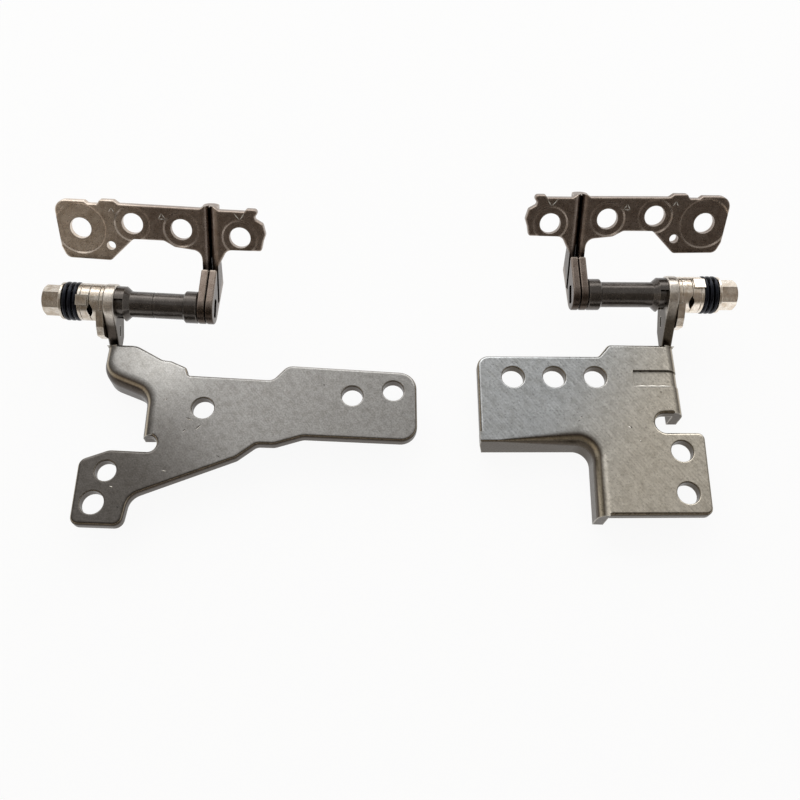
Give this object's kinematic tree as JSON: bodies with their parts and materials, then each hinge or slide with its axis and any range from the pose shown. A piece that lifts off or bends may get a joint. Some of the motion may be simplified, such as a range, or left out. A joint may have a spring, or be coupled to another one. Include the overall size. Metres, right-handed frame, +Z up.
{
  "type": "laptop hinge pair",
  "caption": "Left and right friction hinges of a laptop: stamped base plates with screw holes, shafts with cam and spring stacks, and folded display brackets.",
  "frame": {"origin": "middle of the footprint, on the surface that the pair lies on", "axes": "+X along the right hinge's shaft and the pair's length, +Y away from the user, +Z up"},
  "size_m": [0.0944, 0.045, 0.0146],
  "materials": {
    "base_plate": "satin nickel-plated stamped steel",
    "display_plate": "darker satin stamped steel with coined seats",
    "bright_nickel": "semi-bright nickel on hard steel",
    "black_shaft": "black oxide, oiled",
    "spring_steel": "blue-black phosphated spring steel"
  },
  "bodies": {
    "bases": {"left_base_bracket": "base_plate", "left_fixed_cam": "bright_nickel", "left_friction_washer": "bright_nickel", "right_base_bracket": "base_plate", "right_fixed_cam": "bright_nickel", "right_friction_washer": "bright_nickel"},
    "left_display": {"left_display_bracket": "display_plate", "left_shaft": "black_shaft", "left_moving_cam": "bright_nickel", "left_tab_washer": "bright_nickel", "left_disc_spring_1": "spring_steel", "left_disc_spring_2": "spring_steel", "left_disc_spring_3": "spring_steel", "left_flat_washer": "bright_nickel", "left_hex_nut": "bright_nickel"},
    "right_display": {"right_display_bracket": "display_plate", "right_shaft": "black_shaft", "right_moving_cam": "bright_nickel", "right_tab_washer": "bright_nickel", "right_disc_spring_1": "spring_steel", "right_disc_spring_2": "spring_steel", "right_disc_spring_3": "spring_steel", "right_flat_washer": "bright_nickel", "right_hex_nut": "bright_nickel"}
  },
  "joints": [
    {"name": "left_hinge", "type": "hinge", "parent": "bases", "child": "left_display", "pos_m": [-0.038, 0.00777, 0.0065], "axis": [0.9984, -0.0558, 0], "range_deg": [-15, 130]},
    {"name": "right_hinge", "type": "hinge", "parent": "bases", "child": "right_display", "pos_m": [0.03805, 0.00947, 0.0065], "axis": [1, 0, 0], "range_deg": [-15, 130]}
  ]
}
